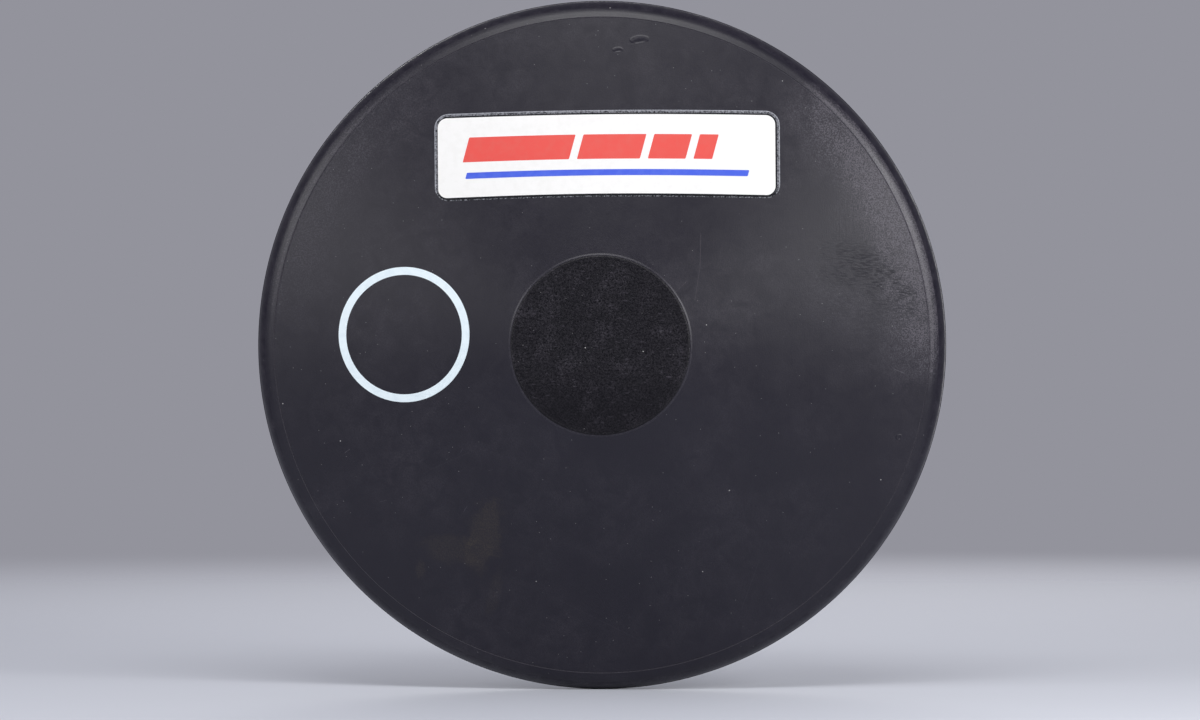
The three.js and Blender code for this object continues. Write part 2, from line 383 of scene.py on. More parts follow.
def moulded_rubber():
    """Vulcanised rubber pressed in a steel mould: near-black, satin, with a pale wax bloom that comes up in clouds,
    a fine grain from the mould's skin, and the rubs, dried dirt and dust of a discus that has been carried about. The
    same pale colour also paints highlights along the lip and beyond the crease, and a sheen under the rim on the lit
    sides."""
    material, tree, shader = new_material("vulcanised_rubber_press_moulded")
    shader.inputs["Specular IOR Level"].default_value = POLISHED
    place = add(tree, "ShaderNodeTexCoord", out="Object")
    around = add(tree, VECTOR_MATH, [place, (1, 0, 1)], operation="MULTIPLY")
    radius = add(tree, VECTOR_MATH, [around], operation="LENGTH", out="Value")

    # The mould's grain is about 0.1 mm wide, and the lines of a rub are about as fine. They are drawn 0.4 and
    # 0.45 mm wide so that they show
    clouds = pattern(tree, place, 30, levels=(0.35, 0.7))
    mottle = pattern(tree, place, 6, 5.0, 0.62, 0.6, levels=(0.36, 0.66))
    uneven = add(tree, MATH, [mottle, 0.5], operation="SUBTRACT")
    grain = pattern(tree, place, 0.4, 2.0, 0.7, levels=(0.35, 0.65))
    across, upright = (pattern(tree, place, 0.45, 2.0, 0.6, levels=(0.42, 0.62), stretch=stretch)
                       for stretch in ((0.025, 1, 1), (1, 1, 0.04)))

    lip, groove, band, under_rim = (ring_zone(tree, radius, *zone)
                                    for zone in (LIP_HIGHLIGHT_ZONE, GROOVE_ZONE, HIGHLIGHT_BAND_ZONE, DUSTY_SHEEN_ZONE))

    # Where the dust lies thickest under the rim, and where a painted sheen stands in for the lamps' highlights, by the
    # cosine of the angle from a direction round the disc
    direction = add(tree, VECTOR_MATH, [around], operation="NORMALIZE")
    dusty = 0.0
    for clock, spread, share in DUSTY_AND_LIT_SIDES:
        toward = (math.cos(math.radians(clock)), 0, math.sin(math.radians(clock)))
        along = add(tree, VECTOR_MATH, [direction, toward], operation="DOT_PRODUCT", out="Value")
        along = add(tree, MAP_RANGE,
                    {"Value": along, "From Min": math.cos(math.radians(spread)), "From Max": 1.0, "To Max": share},
                    interpolation_type="SMOOTHSTEP")
        dusty = add(tree, MATH, [along, dusty], operation="ADD")
    dust_and_sheen = add(tree, MATH, [under_rim, dusty], operation="MULTIPLY")
    broken = add(tree, MATH, [mottle, 0.5, 0.5], operation="MULTIPLY_ADD")
    dust_and_sheen = add(tree, MATH, [dust_and_sheen, broken], operation="MULTIPLY")
    # Painted highlight: a pale line on the band just beyond the crease, on the lit sides
    painted_highlight_band = add(tree, MATH, [dusty, 1.8], operation="MULTIPLY")
    painted_highlight_band = add(tree, "ShaderNodeClamp", {"Value": painted_highlight_band})
    painted_highlight_band = add(tree, MATH, [band, painted_highlight_band], operation="MULTIPLY")

    # Rubs where the hand goes: the bloom is worn off in fine lines and the rubber is scuffed matt
    scuffed = summed(tree, 0.0, [(patch(tree, place, uneven, pixel, half_size, 0.8, 1.2, tilt), share)
                                 for pixel, half_size, tilt, share in RUBS])
    worn = add(tree, MATH, [across, 1.0, 0.12], operation="MULTIPLY_ADD")
    scuffed = add(tree, MATH, [scuffed, worn], operation="MULTIPLY")
    scuffed = add(tree, "ShaderNodeClamp", {"Value": scuffed})
    hand = patch(tree, place, uneven, HAND_PX, HAND_SIZE, 0.6, 0.5)
    lined = add(tree, MATH, [hand, across], operation="MULTIPLY")
    scored = patch(tree, place, uneven, SCORED_PX, SCORED_SIZE, 0.6, 0.5)
    scored = add(tree, MATH, [scored, upright], operation="MULTIPLY")
    lined = add(tree, MATH, [lined, scored], operation="MAXIMUM")
    scratched = summed(tree, 0.0, [(scratch(tree, place, first, last, half_width), share)
                                   for first, last, half_width, share in SCRATCHES])

    # Bloom: clouds times mottling, more of it in the crease and in the dusty zones, where it is dust and a painted
    # sheen, less where it is rubbed. On the lip and on the band beyond the crease it is a painted highlight
    bloom = add(tree, MATH, [clouds, mottle], operation="MULTIPLY")
    bloom = add(tree, MATH, [bloom, 0.17, 0.015], operation="MULTIPLY_ADD")
    bloom = summed(tree, bloom, ((lip, 0.14), (groove, 0.22), (painted_highlight_band, 0.55), (lined, 0.14)))
    speckled = add(tree, MATH, [grain, 1.5, 0.25], operation="MULTIPLY_ADD")
    bloom = add(tree, MATH, [bloom, speckled], operation="MULTIPLY")
    gritty = add(tree, MAP_RANGE, {"Value": grain, "From Min": 0.3, "From Max": 1.0, "To Min": 0.1, "To Max": 3.2})
    gritty = add(tree, MATH, [dust_and_sheen, gritty], operation="MULTIPLY")
    bloom = summed(tree, bloom, ((gritty, 0.75),))
    left = add(tree, MATH, [scuffed, -0.85, 1.0], operation="MULTIPLY_ADD")
    bloom = add(tree, MATH, [bloom, left], operation="MULTIPLY")
    bloom = add(tree, MATH, [scratched, bloom], operation="ADD")

    # Dried dirt, brownish
    dirt = summed(tree, 0.0, [(patch(tree, place, uneven, pixel, half_size, 0.45, 0.7, tilt), share)
                              for pixel, half_size, tilt, share in SMUDGES])
    dirt = add(tree, MATH, [dirt, speckled], operation="MULTIPLY")
    specks = dust_specks(tree, place)
    painted(tree, shader, RUBBER_BLACK_AND_BLUE_REFLECTION, ((bloom, RUBBER_BLOOM_AND_HIGHLIGHT), (scuffed, RUBBER_SCUFFED), (dirt, DRIED_DIRT),
                                         (specks, DUST_SPECK)))

    # Satin, matter where there is dust or dirt or a rub. The grain stands up, and scratches are cut in
    rough = add(tree, MAP_RANGE, {"Value": mottle, "To Min": 0.31, "To Max": 0.35})
    rough = summed(tree, rough, ((grain, 0.05), (dust_and_sheen, 0.06), (lined, 0.05), (scuffed, 0.22), (dirt, 0.3),
                                 (specks, 0.3), (groove, 0.3)))
    relief = summed(tree, 0.0, ((grain, 0.008), (lined, -0.006), (scuffed, -0.012), (scratched, -0.03)))
    surfaced(tree, shader, rough, relief)
    return material


def textured_rubber():
    """The same rubber where the mould's centre plug was left rough: duller than the cone, with short light flakes and
    faint worn patches. Its colour is darker than the cone's as painted shade, standing in for the dark reflection of
    the flat centre."""
    material, tree, shader = new_material("vulcanised_rubber_rough_moulded")
    shader.inputs["Specular IOR Level"].default_value = ROUGH_MOULDED
    place = add(tree, "ShaderNodeTexCoord", out="Object")
    # The photograph can't show how fine the real grain is. It is drawn 0.55 mm wide, and its flakes 0.8 mm, so
    # that they show
    coarse = pattern(tree, place, 0.55, 2.0, 0.7, levels=(0.38, 0.66))
    worn = pattern(tree, place, 7, 4.0, 0.65, levels=(0.5, 0.72))
    flakes = pattern(tree, place, 0.8, levels=(0.62, 0.74), stretch=(0.35, 1, 1))

    # The grain and its flakes thin out towards the bottom of the centre, so it is darker towards the bottom
    height = add(tree, SEPARATE, [place], out="Z")
    coarse_left = add(tree, MAP_RANGE,
                      {"Value": height, "From Min": GRAIN_FADED_BELOW, "From Max": WHOLE_ABOVE, "To Min": FADED_GRAIN_SHARE},
                      interpolation_type="SMOOTHSTEP")
    coarse = add(tree, MATH, [coarse, coarse_left], operation="MULTIPLY")
    flakes = add(tree, MATH, [flakes, coarse_left], operation="MULTIPLY")
    worn_grain = add(tree, MATH, [worn, coarse], operation="MULTIPLY")
    bloom = summed(tree, 0.0, ((coarse, 0.16), (worn_grain, 0.34), (flakes, 0.42)))
    specks = dust_specks(tree, place)
    # Painted shade: the plug's colour is darker than the cone's, standing in for the dark reflection of the flat centre
    painted(tree, shader, RUBBER_PLUG_PAINTED_DARKER, ((bloom, RUBBER_BLOOM_AND_HIGHLIGHT), (specks, DUST_SPECK)))
    rough = add(tree, MAP_RANGE, {"Value": coarse, "To Min": 0.28, "To Max": 0.46})
    surfaced(tree, shader, summed(tree, rough, ((specks, 0.3),)), summed(tree, 0.0, ((coarse, 0.05),)))
    return material


def buffed_rubber():
    """The same rubber on the edge of the rim, where the moulding flash was buffed off and where the discus lands:
    dull, scuffed in patches, with dust in the scuffs. The grain is drawn 0.5 mm wide so that it shows."""
    material, tree, shader = new_material("vulcanised_rubber_buffed")
    shader.inputs["Specular IOR Level"].default_value = BUFFED
    place = add(tree, "ShaderNodeTexCoord", out="Object")
    scuffs = pattern(tree, place, 3, 6.0, 0.75, 0.4, levels=(0.42, 0.7))
    grain = pattern(tree, place, 0.5)
    dusty = add(tree, MATH, [scuffs, grain], operation="MULTIPLY")
    bloom = summed(tree, 0.0, ((dusty, 0.5), (grain, 0.12)))
    specks = dust_specks(tree, place)
    painted(tree, shader, RUBBER_BLACK_AND_BLUE_REFLECTION, ((bloom, RUBBER_BLOOM_AND_HIGHLIGHT), (specks, DUST_SPECK)))
    rough = add(tree, MAP_RANGE, {"Value": scuffs, "To Min": 0.33, "To Max": 0.45})
    relief = summed(tree, 0.0, ((scuffs, 0.03), (grain, 0.01)))
    surfaced(tree, shader, summed(tree, rough, ((specks, 0.3),)), relief)
    return material


def label_film():
    """Clear vinyl film stuck flat on black rubber: glossy and dark, with fluff and air caught in from its cut edge."""
    material, tree, shader = new_material("clear_vinyl_film_cut")
    place = add(tree, "ShaderNodeAttribute", out="Vector", attribute_name="on_sheet")
    size = (FILM_SIZE[0] / 2 - FILM_CORNER, FILM_SIZE[1] / 2 - FILM_CORNER, 0)
    corner = add(tree, VECTOR_MATH, [place], operation="ABSOLUTE")
    for operation, other in (("SUBTRACT", size), ("MAXIMUM", (0, 0, 0)), ("MULTIPLY", (1, 1, 0))):
        corner = add(tree, VECTOR_MATH, [corner, other], operation=operation)
    reach = add(tree, VECTOR_MATH, [corner], operation="LENGTH", out="Value")
    fray = pattern(tree, place, 0.7, 4.0, 0.75, levels=(0.38, 0.6))

    # The cut edge holds a nearly unbroken line of fluff, and air has crept in behind it in patches
    edge = add(tree, MAP_RANGE,
               {"Value": reach, "From Min": FILM_CORNER - FLUFF_REACH[0], "From Max": FILM_CORNER - FLUFF_REACH[1]},
               interpolation_type="SMOOTHSTEP")
    crept = add(tree, MAP_RANGE,
                {"Value": reach, "From Min": FILM_CORNER - AIR_REACH[0], "From Max": FILM_CORNER - AIR_REACH[1],
                 "To Max": 0.55}, interpolation_type="SMOOTHSTEP")
    line = add(tree, MATH, [fray, 0.6, 0.4], operation="MULTIPLY_ADD")
    line = add(tree, MATH, [edge, line], operation="MULTIPLY")
    crept = add(tree, MATH, [crept, fray], operation="MULTIPLY")
    fluff = add(tree, MATH, [line, crept], operation="MAXIMUM")

    # The lower edge was pressed down best and shows only crumbs
    low = add(tree, SEPARATE, [place], out="Y")
    low = add(tree, MAP_RANGE,
              {"Value": low, "From Min": CRUMBS_REACH[0] - FILM_SIZE[1] / 2,
               "From Max": CRUMBS_REACH[1] - FILM_SIZE[1] / 2})
    crumbs = add(tree, MATH, [fray, 0.9, -0.35], operation="MULTIPLY_ADD")
    crumbs = add(tree, MATH, [crumbs, edge], operation="MULTIPLY")
    fluff = add(tree, "ShaderNodeMix", {"Factor": low, "A": crumbs, "B": fluff})
    fluff = add(tree, "ShaderNodeClamp", {"Value": fluff})
    painted(tree, shader, FILM_DARK, ((fluff, FILM_FLUFF),))
    rough = add(tree, MAP_RANGE, {"Value": fluff, "To Min": 0.18, "To Max": 0.6})
    tree.links.new(rough, shader.inputs["Roughness"])
    return material


def printed_ink(name, colour, thin_colour, roughness):
    """Vinyl ink, screen or pad printed: an even satin coat whose colour thins a little in places, drawn 2.5 mm wide
    so that they show."""
    material, tree, shader = new_material(name)
    place = add(tree, "ShaderNodeTexCoord", out="Object")
    coat = pattern(tree, place, 2.5, 4.0, 0.6)
    thin = add(tree, MAP_RANGE, {"Value": coat, "From Min": 0.45, "From Max": 0.8})
    painted(tree, shader, colour, ((thin, thin_colour),))
    rough = add(tree, MAP_RANGE, {"Value": coat, "To Min": roughness - 0.04, "To Max": roughness + 0.06})
    surfaced(tree, shader, rough, summed(tree, 0.0, ((coat, 0.004),)))
    return material


def plate_steel():
    """Hot-rolled mild steel plate, blasted so that rubber bonds to it: dull grey with a fine even pitting, drawn
    0.6 mm wide so that it shows."""
    material, tree, shader = new_material("mild_steel_plate_blasted")
    shader.inputs["Metallic"].default_value = 1.0
    place = add(tree, "ShaderNodeTexCoord", out="Object")
    pits = pattern(tree, place, 0.6)
    painted(tree, shader, STEEL_GREY, ((pattern(tree, place, 12, 4.0), STEEL_SCALE),))
    rough = add(tree, MAP_RANGE, {"Value": pits, "To Min": 0.5, "To Max": 0.68})
    surfaced(tree, shader, rough, summed(tree, 0.0, ((pits, 0.03),)))
    return material


# Geometry Nodes

def new_tree(name, sizes):
    """Geometry Nodes group with one named input for each size, and its input and output nodes. A size says what
    kind its input is; one that is no number and no vector stands for a material."""
    tree = bpy.data.node_groups.new(name, "GeometryNodeTree")
    tree.interface.new_socket("Geometry", in_out="INPUT", socket_type="NodeSocketGeometry")
    tree.interface.new_socket("Geometry", in_out="OUTPUT", socket_type="NodeSocketGeometry")
    for size, value in sizes.items():
        kind = {int: "Int", float: "Float", tuple: "Vector"}.get(type(value), "Material")
        tree.interface.new_socket(size, in_out="INPUT", socket_type="NodeSocket" + kind)
    return tree, add(tree, "NodeGroupInput", out=None), add(tree, "NodeGroupOutput", out=None)


def made_by(tree, name, **sizes):
    """Plain mesh object that the tree makes with these sizes."""
    piece = bpy.data.objects.new(name, bpy.data.meshes.new(name))
    bpy.context.scene.collection.objects.link(piece)
    modifier = piece.modifiers.new("nodes", "NODES")
    modifier.node_group = tree
    wanted = {key.replace("_", " "): value for key, value in sizes.items()}
    for item in tree.interface.items_tree:
        if item.in_out == "INPUT" and item.name in wanted:
            modifier[item.identifier] = wanted.pop(item.name)
    assert not wanted, f"{tree.name} has no input named {list(wanted)}"
    bpy.context.view_layer.update()
    piece.data = bpy.data.meshes.new_from_object(piece.evaluated_get(bpy.context.evaluated_depsgraph_get()))
    piece.modifiers.clear()
    piece.data.name = name
    return piece


def rubber_section_corners():
    """Corners of a rubber half's section as (radius, height, rounding), from the pocket floor to the middle."""
    pocket_radius = CORE_RADIUS + CORE_CLEARANCE
    band_radius = CREASE_RADIUS + CREASE_WIDTH / 2
    band_end = RIM_CENTRE_RADIUS + RIM_EDGE_RADIUS * math.sin(RIM_BAND_TILT)
    band_height = RIM_EDGE_RADIUS * math.cos(RIM_BAND_TILT) + (band_end - band_radius) * math.tan(RIM_BAND_TILT)
    lip = {"Lip Crest": LIP_CREST, "Lip Groove": LIP_GROOVE, "Lip Inner Crest": LIP_INNER_CREST,
           "Centre Edge": CENTRE_EDGE}
    return {
        "Pocket Middle": (0, CORE_HALF, 0),
        "Pocket Edge": (pocket_radius, CORE_HALF, 0),
        "Pocket Mouth": (pocket_radius, 0, 0),
        "Joint Edge": (OUTER_RADIUS, 0, 0),
        "Flash Edge": (OUTER_RADIUS, FLASH_HALF_WIDTH, 0),
        "Rim Band": (band_radius, band_height, CREASE_ROUNDING),
        "Crease Floor": (*on_cone(CREASE_RADIUS, -CREASE_DEPTH), 0),
        "Crease Edge": (*on_cone(CREASE_RADIUS - CREASE_WIDTH / 2), CREASE_ROUNDING),
        "Lip Foot": (*on_cone(LIP_FLANK_RADIUS), LIP_ROUNDING),
        **{name: (radius, HALF_THICKNESS - depth, LIP_ROUNDING) for name, (radius, depth) in lip.items()},
        "Centre Middle": (0, HALF_THICKNESS - CENTRE_EDGE[1], 0),
    }


def rubber_half_tree(corners, sizes):
    """Turns the section of a rubber half about the spin axis, and joins on the keys of its pocket."""
    before_rim = list(corners).index("Flash Edge") + 1
    tree, given, result = new_tree("rubber_half", {**corners, **sizes})
    size = given.outputs

    # Points of the section: the corners, with the rim's arc between the flash and the crease
    index = add(tree, "GeometryNodeInputIndex")
    on_rim = add(tree, MATH, [index, float(before_rim)], operation="SUBTRACT")
    rim_last = add(tree, MATH, [size["Rim Steps"], 1.0], operation="SUBTRACT")
    angle = add(tree, MAP_RANGE,
                {"Value": on_rim, "From Max": rim_last, "To Min": size["Rim Start Angle"],
                 "To Max": size["Rim End Angle"]})
    cosine = add(tree, MATH, [angle], operation="COSINE")
    sine = add(tree, MATH, [angle], operation="SINE")
    radius = add(tree, MATH, [cosine, size["Rim Edge Radius"], size["Rim Centre Radius"]], operation="MULTIPLY_ADD")
    height = add(tree, MATH, [sine, size["Rim Edge Radius"]], operation="MULTIPLY")
    rim_point = add(tree, COMBINE, {"X": radius, "Y": height})
    past_rim = add(tree, MATH, [on_rim, size["Rim Steps"]], operation="SUBTRACT")
    is_before = add(tree, "FunctionNodeCompare", [on_rim, 0.0], operation="LESS_THAN")
    is_past = add(tree, "FunctionNodeCompare", [past_rim, 0.0], operation="GREATER_EQUAL")
    later = add(tree, MATH, [past_rim, float(before_rim)], operation="ADD")
    corner_number = add(tree, "GeometryNodeSwitch", [is_before, later, index], input_type="FLOAT")
    corner = add(tree, "GeometryNodeIndexSwitch", out=None, data_type="VECTOR")
    while len(corner.index_switch_items) < len(corners):
        corner.index_switch_items.new()
    tree.links.new(corner_number, corner.inputs[0])
    for number, name in enumerate(corners):
        tree.links.new(size[name], corner.inputs[number + 1])
    is_corner = add(tree, "FunctionNodeBooleanMath", [is_before, is_past], operation="OR")
    flat_corner = add(tree, VECTOR_MATH, [corner.outputs[0], (1, 1, 0)], operation="MULTIPLY")
    place = add(tree, "GeometryNodeSwitch", [is_corner, rim_point, flat_corner], input_type="VECTOR")
    rounding = add(tree, SEPARATE, [corner.outputs[0]], out="Z")
    rounding = add(tree, "GeometryNodeSwitch", [is_corner, 0.0, rounding], input_type="FLOAT")
    count = add(tree, MATH, [size["Rim Steps"], float(len(corners))], operation="ADD")
    points = add(tree, "GeometryNodePoints", {"Count": count, "Position": place})
    keep_rounding = add(tree, "GeometryNodeStoreNamedAttribute",
                        {"Geometry": points, "Name": "rounding", "Value": rounding}, data_type="FLOAT",
                        domain="POINT")
    section = add(tree, "GeometryNodePointsToCurves", {"Points": keep_rounding})
    kept = add(tree, "GeometryNodeInputNamedAttribute", {"Name": "rounding"}, data_type="FLOAT")
    section = add(tree, "GeometryNodeFilletCurve",
                  {"Curve": section, "Count": size["Fillet Steps"], "Radius": kept, "Limit Radius": True},
                  mode="POLY")

    # Rows along the cone and the centre, where the section runs above the rim
    here = add(tree, "GeometryNodeInputPosition")
    next_index = add(tree, MATH, [index, 1.0], operation="ADD")
    next_place = add(tree, "GeometryNodeFieldAtIndex", {"Index": next_index, "Value": here}, data_type="FLOAT_VECTOR",
                     domain="POINT")
    length = add(tree, VECTOR_MATH, [here, next_place], operation="DISTANCE", out="Value")
    rows = add(tree, MATH, [length, size["Row Spacing"]], operation="DIVIDE")
    rows = add(tree, MATH, [rows], operation="FLOOR")
    here_height = add(tree, SEPARATE, [here], out="Y")
    is_face = add(tree, MATH, [here_height, size["Key Length"]], operation="GREATER_THAN")
    rows = add(tree, MATH, [rows, is_face], operation="MULTIPLY")
    section = add(tree, "GeometryNodeSubdivideCurve", {"Curve": section, "Cuts": rows})

    # A grid of one row for each section point, rolled up about the spin axis
    section_size = add(tree, "GeometryNodeAttributeDomainSize", [section], component="CURVE", out="Point Count")
    columns = add(tree, MATH, [size["Around Steps"], 1.0], operation="ADD")
    grid = add(tree, "GeometryNodeMeshGrid", {"Vertices X": columns, "Vertices Y": section_size})
    row = add(tree, MATH, [index, section_size], operation="MODULO")
    column = add(tree, MATH, [index, section_size], operation="DIVIDE")
    column = add(tree, MATH, [column], operation="FLOOR")
    share = add(tree, MATH, [column, size["Around Steps"]], operation="DIVIDE")
    turn = add(tree, MATH, [share, math.tau], operation="MULTIPLY")
    section_point = add(tree, "GeometryNodeSampleIndex", {"Geometry": section, "Value": here, "Index": row},
                        data_type="FLOAT_VECTOR", domain="POINT")
    turned = add(tree, "ShaderNodeVectorRotate", {"Vector": section_point, "Angle": turn}, rotation_type="Y_AXIS")
    body = add(tree, "GeometryNodeSetPosition", {"Geometry": grid, "Position": turned})
    body = add(tree, "GeometryNodeMergeByDistance", {"Geometry": body, "Distance": MERGE_DISTANCE})

    # Keys: bars on a circle, sunk a little into the pocket's floor
    circle = add(tree, "GeometryNodeMeshCircle", {"Vertices": size["Key Count"], "Radius": size["Key Circle Radius"]})
    bar = add(tree, "GeometryNodeMeshCylinder",
              {"Vertices": size["Key Sides"], "Radius": size["Key Radius"], "Depth": size["Key Length"]})
    keys = add(tree, "GeometryNodeInstanceOnPoints", {"Points": circle, "Instance": bar})
    keys = add(tree, "GeometryNodeRealizeInstances", [keys])
    half_length = add(tree, MATH, [size["Key Length"], 0.5], operation="MULTIPLY")
    lift = add(tree, COMBINE, {"Y": half_length})
    keys = add(tree, "GeometryNodeTransform",
               {"Geometry": keys, "Translation": lift, "Rotation": (-math.pi / 2, 0, 0)})
    whole = add(tree, "GeometryNodeMeshBoolean", out=None, operation="UNION", solver="MANIFOLD")
    tree.links.new(body, whole.inputs["Mesh 2"])
    tree.links.new(keys, whole.inputs["Mesh 2"])

    turn_round = add(tree, COMBINE, {"Z": size["Half Turn"]})
    whole = add(tree, "GeometryNodeTransform", {"Geometry": whole.outputs[0], "Rotation": turn_round})
    smooth = add(tree, "GeometryNodeSetShadeSmooth", {"Geometry": whole})
    realized = add(tree, "GeometryNodeRealizeInstances", [smooth])
    finished = add(tree, "GeometryNodeSetMaterial", {"Geometry": realized, "Material": size["Material"]})

    # The sunk centre and the buffed rim take their own material
    here = add(tree, VECTOR_MATH, [here, (1, 0, 1)], operation="MULTIPLY")
    spread = add(tree, VECTOR_MATH, [here], operation="LENGTH", out="Value")
    for side, limit, material in (("LESS_THAN", "Centre Radius", "Centre Material"),
                                  ("GREATER_THAN", "Buffed Radius", "Rim Material")):
        chosen = add(tree, "FunctionNodeCompare", [spread, size[limit]], operation=side)
        finished = add(tree, "GeometryNodeSetMaterial",
                       {"Geometry": finished, "Selection": chosen, "Material": size[material]})
    tree.links.new(finished, result.inputs[0])
    return tree


def sheet_on_cone_group():
    """Bends flat sheets onto the front cone without stretching them: X runs across, Y outward, Z off the rubber."""
    tree, given, result = new_tree("lay_on_cone", {"Middle Reach": 0.0, "Clock": 0.0, "Tilt": 0.0})
    size = given.outputs
    flat = add(tree, "GeometryNodeInputPosition")
    kept = add(tree, "GeometryNodeStoreNamedAttribute",
               {"Geometry": size["Geometry"], "Name": "on_sheet", "Value": flat}, data_type="FLOAT_VECTOR",
               domain="POINT")
    lift = add(tree, SEPARATE, [flat], out="Z")
    turned = add(tree, "ShaderNodeVectorRotate", {"Vector": flat, "Angle": size["Tilt"]}, rotation_type="Z_AXIS")
    turned = add(tree, SEPARATE, [turned], out=None).outputs
    side = turned["X"]
    reach = add(tree, MATH, [turned["Y"], size["Middle Reach"]], operation="ADD")
    bearing = add(tree, MATH, [side, reach], operation="ARCTAN2")
    angle = add(tree, MATH, [bearing, 1 / math.cos(SLOPE), size["Clock"]], operation="MULTIPLY_ADD")
    along = add(tree, COMBINE, {"X": side, "Y": reach})
    along = add(tree, VECTOR_MATH, [along], operation="LENGTH", out="Value")
    spread = add(tree, MATH, [along, math.cos(SLOPE)], operation="MULTIPLY")
    spread = add(tree, MATH, [lift, math.sin(SLOPE), spread], operation="MULTIPLY_ADD")
    height = add(tree, MATH, [along, -math.sin(SLOPE), APEX_HEIGHT], operation="MULTIPLY_ADD")
    height = add(tree, MATH, [lift, math.cos(SLOPE), height], operation="MULTIPLY_ADD")
    forward = add(tree, MATH, [height, -1.0], operation="MULTIPLY")
    place = add(tree, COMBINE, {"Y": forward, "Z": spread})
    place = add(tree, "ShaderNodeVectorRotate", {"Vector": place, "Angle": angle}, rotation_type="Y_AXIS")
    bent = add(tree, "GeometryNodeSetPosition", {"Geometry": kept, "Position": place})
    tree.links.new(bent, result.inputs[0])
    return tree


def closed_sheet(tree, flat, size):
    """Gives a flat sheet its thickness, bends it onto the cone and gives it its material."""
    rise = add(tree, COMBINE, {"Z": size["Thickness"]})
    top = add(tree, "GeometryNodeExtrudeMesh",
              {"Mesh": flat, "Offset": rise, "Offset Scale": 1.0, "Individual": False})
    bottom = add(tree, "GeometryNodeFlipFaces", [flat])
    both = add(tree, "GeometryNodeJoinGeometry", [top])
    tree.links.new(bottom, both.node.inputs[0])
    closed = add(tree, "GeometryNodeMergeByDistance", {"Geometry": both, "Distance": MERGE_DISTANCE})
    bent = add(tree, "GeometryNodeGroup",
               {"Geometry": closed, "Middle Reach": size["Middle Reach"], "Clock": size["Clock"],
                "Tilt": size["Tilt"]}, node_tree=LAY_ON_CONE)
    realized = add(tree, "GeometryNodeRealizeInstances", [bent])
    return add(tree, "GeometryNodeSetMaterial", {"Geometry": realized, "Material": size["Material"]})


PLACE_SIZES = {"Lift": 0.0, "Thickness": 0.0, "Middle Reach": 0.0, "Clock": 0.0, "Tilt": 0.0, "Material": None}


def sheet_tree():
    """Thin sheet with rounded corners, set off from the label's middle, leaning and rising as the bars do."""
    tree, given, result = new_tree("sheet", {"Width": 0.0, "Height": 0.0, "Corner": 0.0, "Across": 0.0,
                                             "Outward": 0.0, "Slant": 0.0, "Columns": 0, "Rows": 0, **PLACE_SIZES})
    size = given.outputs
    grid = add(tree, "GeometryNodeMeshGrid",
               {"Size X": 2.0, "Size Y": 2.0, "Vertices X": size["Columns"], "Vertices Y": size["Rows"]})
    share = add(tree, SEPARATE, [add(tree, "GeometryNodeInputPosition")], out=None).outputs
    quarter = add(tree, MATH, [share["Y"], math.pi / 2], operation="MULTIPLY")
    sine = add(tree, MATH, [quarter], operation="SINE")
    half_height = add(tree, MATH, [size["Height"], 0.5], operation="MULTIPLY")
    half_width = add(tree, MATH, [size["Width"], 0.5], operation="MULTIPLY")
    up = add(tree, MATH, [sine, half_height], operation="MULTIPLY")

    # Rows near the top and bottom draw in along the corner's quarter circle
    straight = add(tree, MATH, [half_height, size["Corner"]], operation="SUBTRACT")
    over = add(tree, MATH, [up], operation="ABSOLUTE")
    over = add(tree, MATH, [over, straight], operation="SUBTRACT")
    over = add(tree, MATH, [over, 0.0], operation="MAXIMUM")
    square = add(tree, MATH, [over, over], operation="MULTIPLY")
    corner_square = add(tree, MATH, [size["Corner"], size["Corner"]], operation="MULTIPLY")
    rest = add(tree, MATH, [corner_square, square], operation="SUBTRACT")
    rest = add(tree, MATH, [rest, 0.0], operation="MAXIMUM")
    rest = add(tree, MATH, [rest], operation="SQRT")
    reach = add(tree, MATH, [half_width, size["Corner"]], operation="SUBTRACT")
    reach = add(tree, MATH, [reach, rest], operation="ADD")
    across = add(tree, MATH, [share["X"], reach, size["Across"]], operation="MULTIPLY_ADD")
    across = add(tree, MATH, [up, size["Slant"], across], operation="MULTIPLY_ADD")
    outward = add(tree, MATH, [up, size["Outward"]], operation="ADD")
    place = add(tree, COMBINE, {"X": across, "Y": outward, "Z": size["Lift"]})
    flat = add(tree, "GeometryNodeSetPosition", {"Geometry": grid, "Position": place})
    tree.links.new(closed_sheet(tree, flat, size), result.inputs[0])
    return tree


def ring_tree():
    """Thin flat ring, bent onto the cone as the sheets are."""
    tree, given, result = new_tree("ring", {"Outer Radius": 0.0, "Stroke": 0.0, "Around": 0, "Rows": 0, **PLACE_SIZES})
    size = given.outputs
    grid = add(tree, "GeometryNodeMeshGrid",
               {"Size X": 2.0, "Size Y": 1.0, "Vertices X": size["Around"], "Vertices Y": size["Rows"]})
    share = add(tree, SEPARATE, [add(tree, "GeometryNodeInputPosition")], out=None).outputs
    turn = add(tree, MATH, [share["X"], -math.pi], operation="MULTIPLY")
    inward = add(tree, MATH, [share["Y"], 0.5], operation="SUBTRACT")
    radius = add(tree, MATH, [inward, size["Stroke"], size["Outer Radius"]], operation="MULTIPLY_ADD")
    place = add(tree, COMBINE, {"Y": radius})
    place = add(tree, "ShaderNodeVectorRotate", {"Vector": place, "Angle": turn}, rotation_type="Z_AXIS")
    lift = add(tree, COMBINE, {"Z": size["Lift"]})
    place = add(tree, VECTOR_MATH, [place, lift], operation="ADD")
    flat = add(tree, "GeometryNodeSetPosition", {"Geometry": grid, "Position": place})
    flat = add(tree, "GeometryNodeMergeByDistance", {"Geometry": flat, "Distance": MERGE_DISTANCE})
    tree.links.new(closed_sheet(tree, flat, size), result.inputs[0])
    return tree


# Pieces

